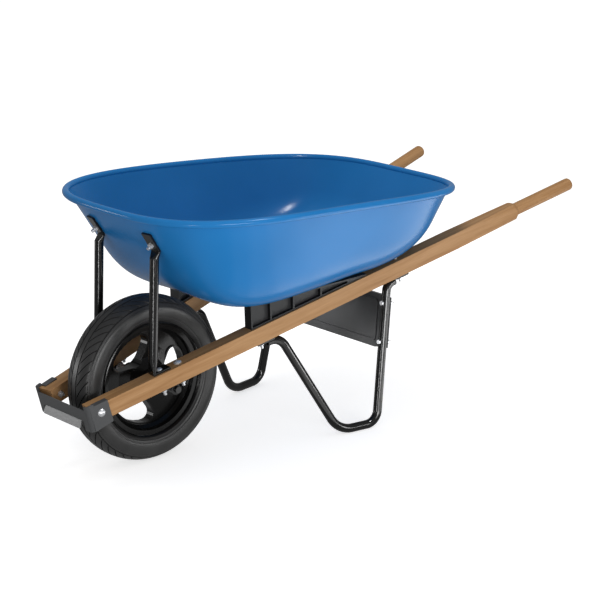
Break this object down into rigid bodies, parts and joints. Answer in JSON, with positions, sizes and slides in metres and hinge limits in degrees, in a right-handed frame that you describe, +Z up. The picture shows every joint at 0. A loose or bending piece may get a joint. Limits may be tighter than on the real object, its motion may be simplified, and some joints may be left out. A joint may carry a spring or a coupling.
{
  "type": "wheelbarrow",
  "caption": "Contractor's wheelbarrow with a deep steel tray, straight wooden handles, a pneumatic wheel on a fixed axle, bent-tube legs joined by a panel, and a nose guard.",
  "frame": {"origin": "on the ground, under the middle of the overall length, in the middle of the width", "axes": "+X from the wheel to the grips, +Y to the operator's right when standing between the grips and facing the wheel, +Z up"},
  "size_m": [1.422, 0.6868, 0.6408],
  "materials": {
    "tray": "gloss",
    "wood": "satin",
    "black_paint": "gloss",
    "tyre": "matte",
    "rubber": "matte",
    "plastic": "matte",
    "zinc": "satin"
  },
  "bodies": {
    "frame": {"tray": "tray", "handle_left": "wood", "handle_right": "wood", "nose_guard": "black_paint", "riser_left": "black_paint", "riser_right": "black_paint", "wedge_left": "plastic", "wedge_right": "plastic", "leg_left": "black_paint", "leg_right": "black_paint", "leg_panel": "plastic", "axle_bracket_left": "black_paint", "axle_bracket_right": "black_paint", "axle": "black_paint", "axle_spacers": "zinc", "nose_bolts": "zinc", "nose_nuts": "zinc", "axle_bolts": "zinc", "axle_nuts": "zinc", "axle_washers": "zinc", "tray_front_bolts": "zinc", "tray_rear_bolts": "zinc", "bevel_washers": "zinc", "leg_nuts": "zinc", "riser_bolts": "zinc", "riser_nuts": "zinc", "panel_bolts": "zinc", "panel_nuts": "zinc"},
    "wheel": {"rim": "black_paint", "tyre": "tyre", "inner_tube": "rubber", "wheel_bearings": "zinc", "valve_stem": "rubber", "valve_cap": "rubber"}
  },
  "joints": [
    {"name": "wheel_spin", "type": "hinge", "parent": "frame", "child": "wheel", "pos_m": [-0.46851, 0, 0.203], "axis": [0, 1, 0], "continuous": true}
  ]
}
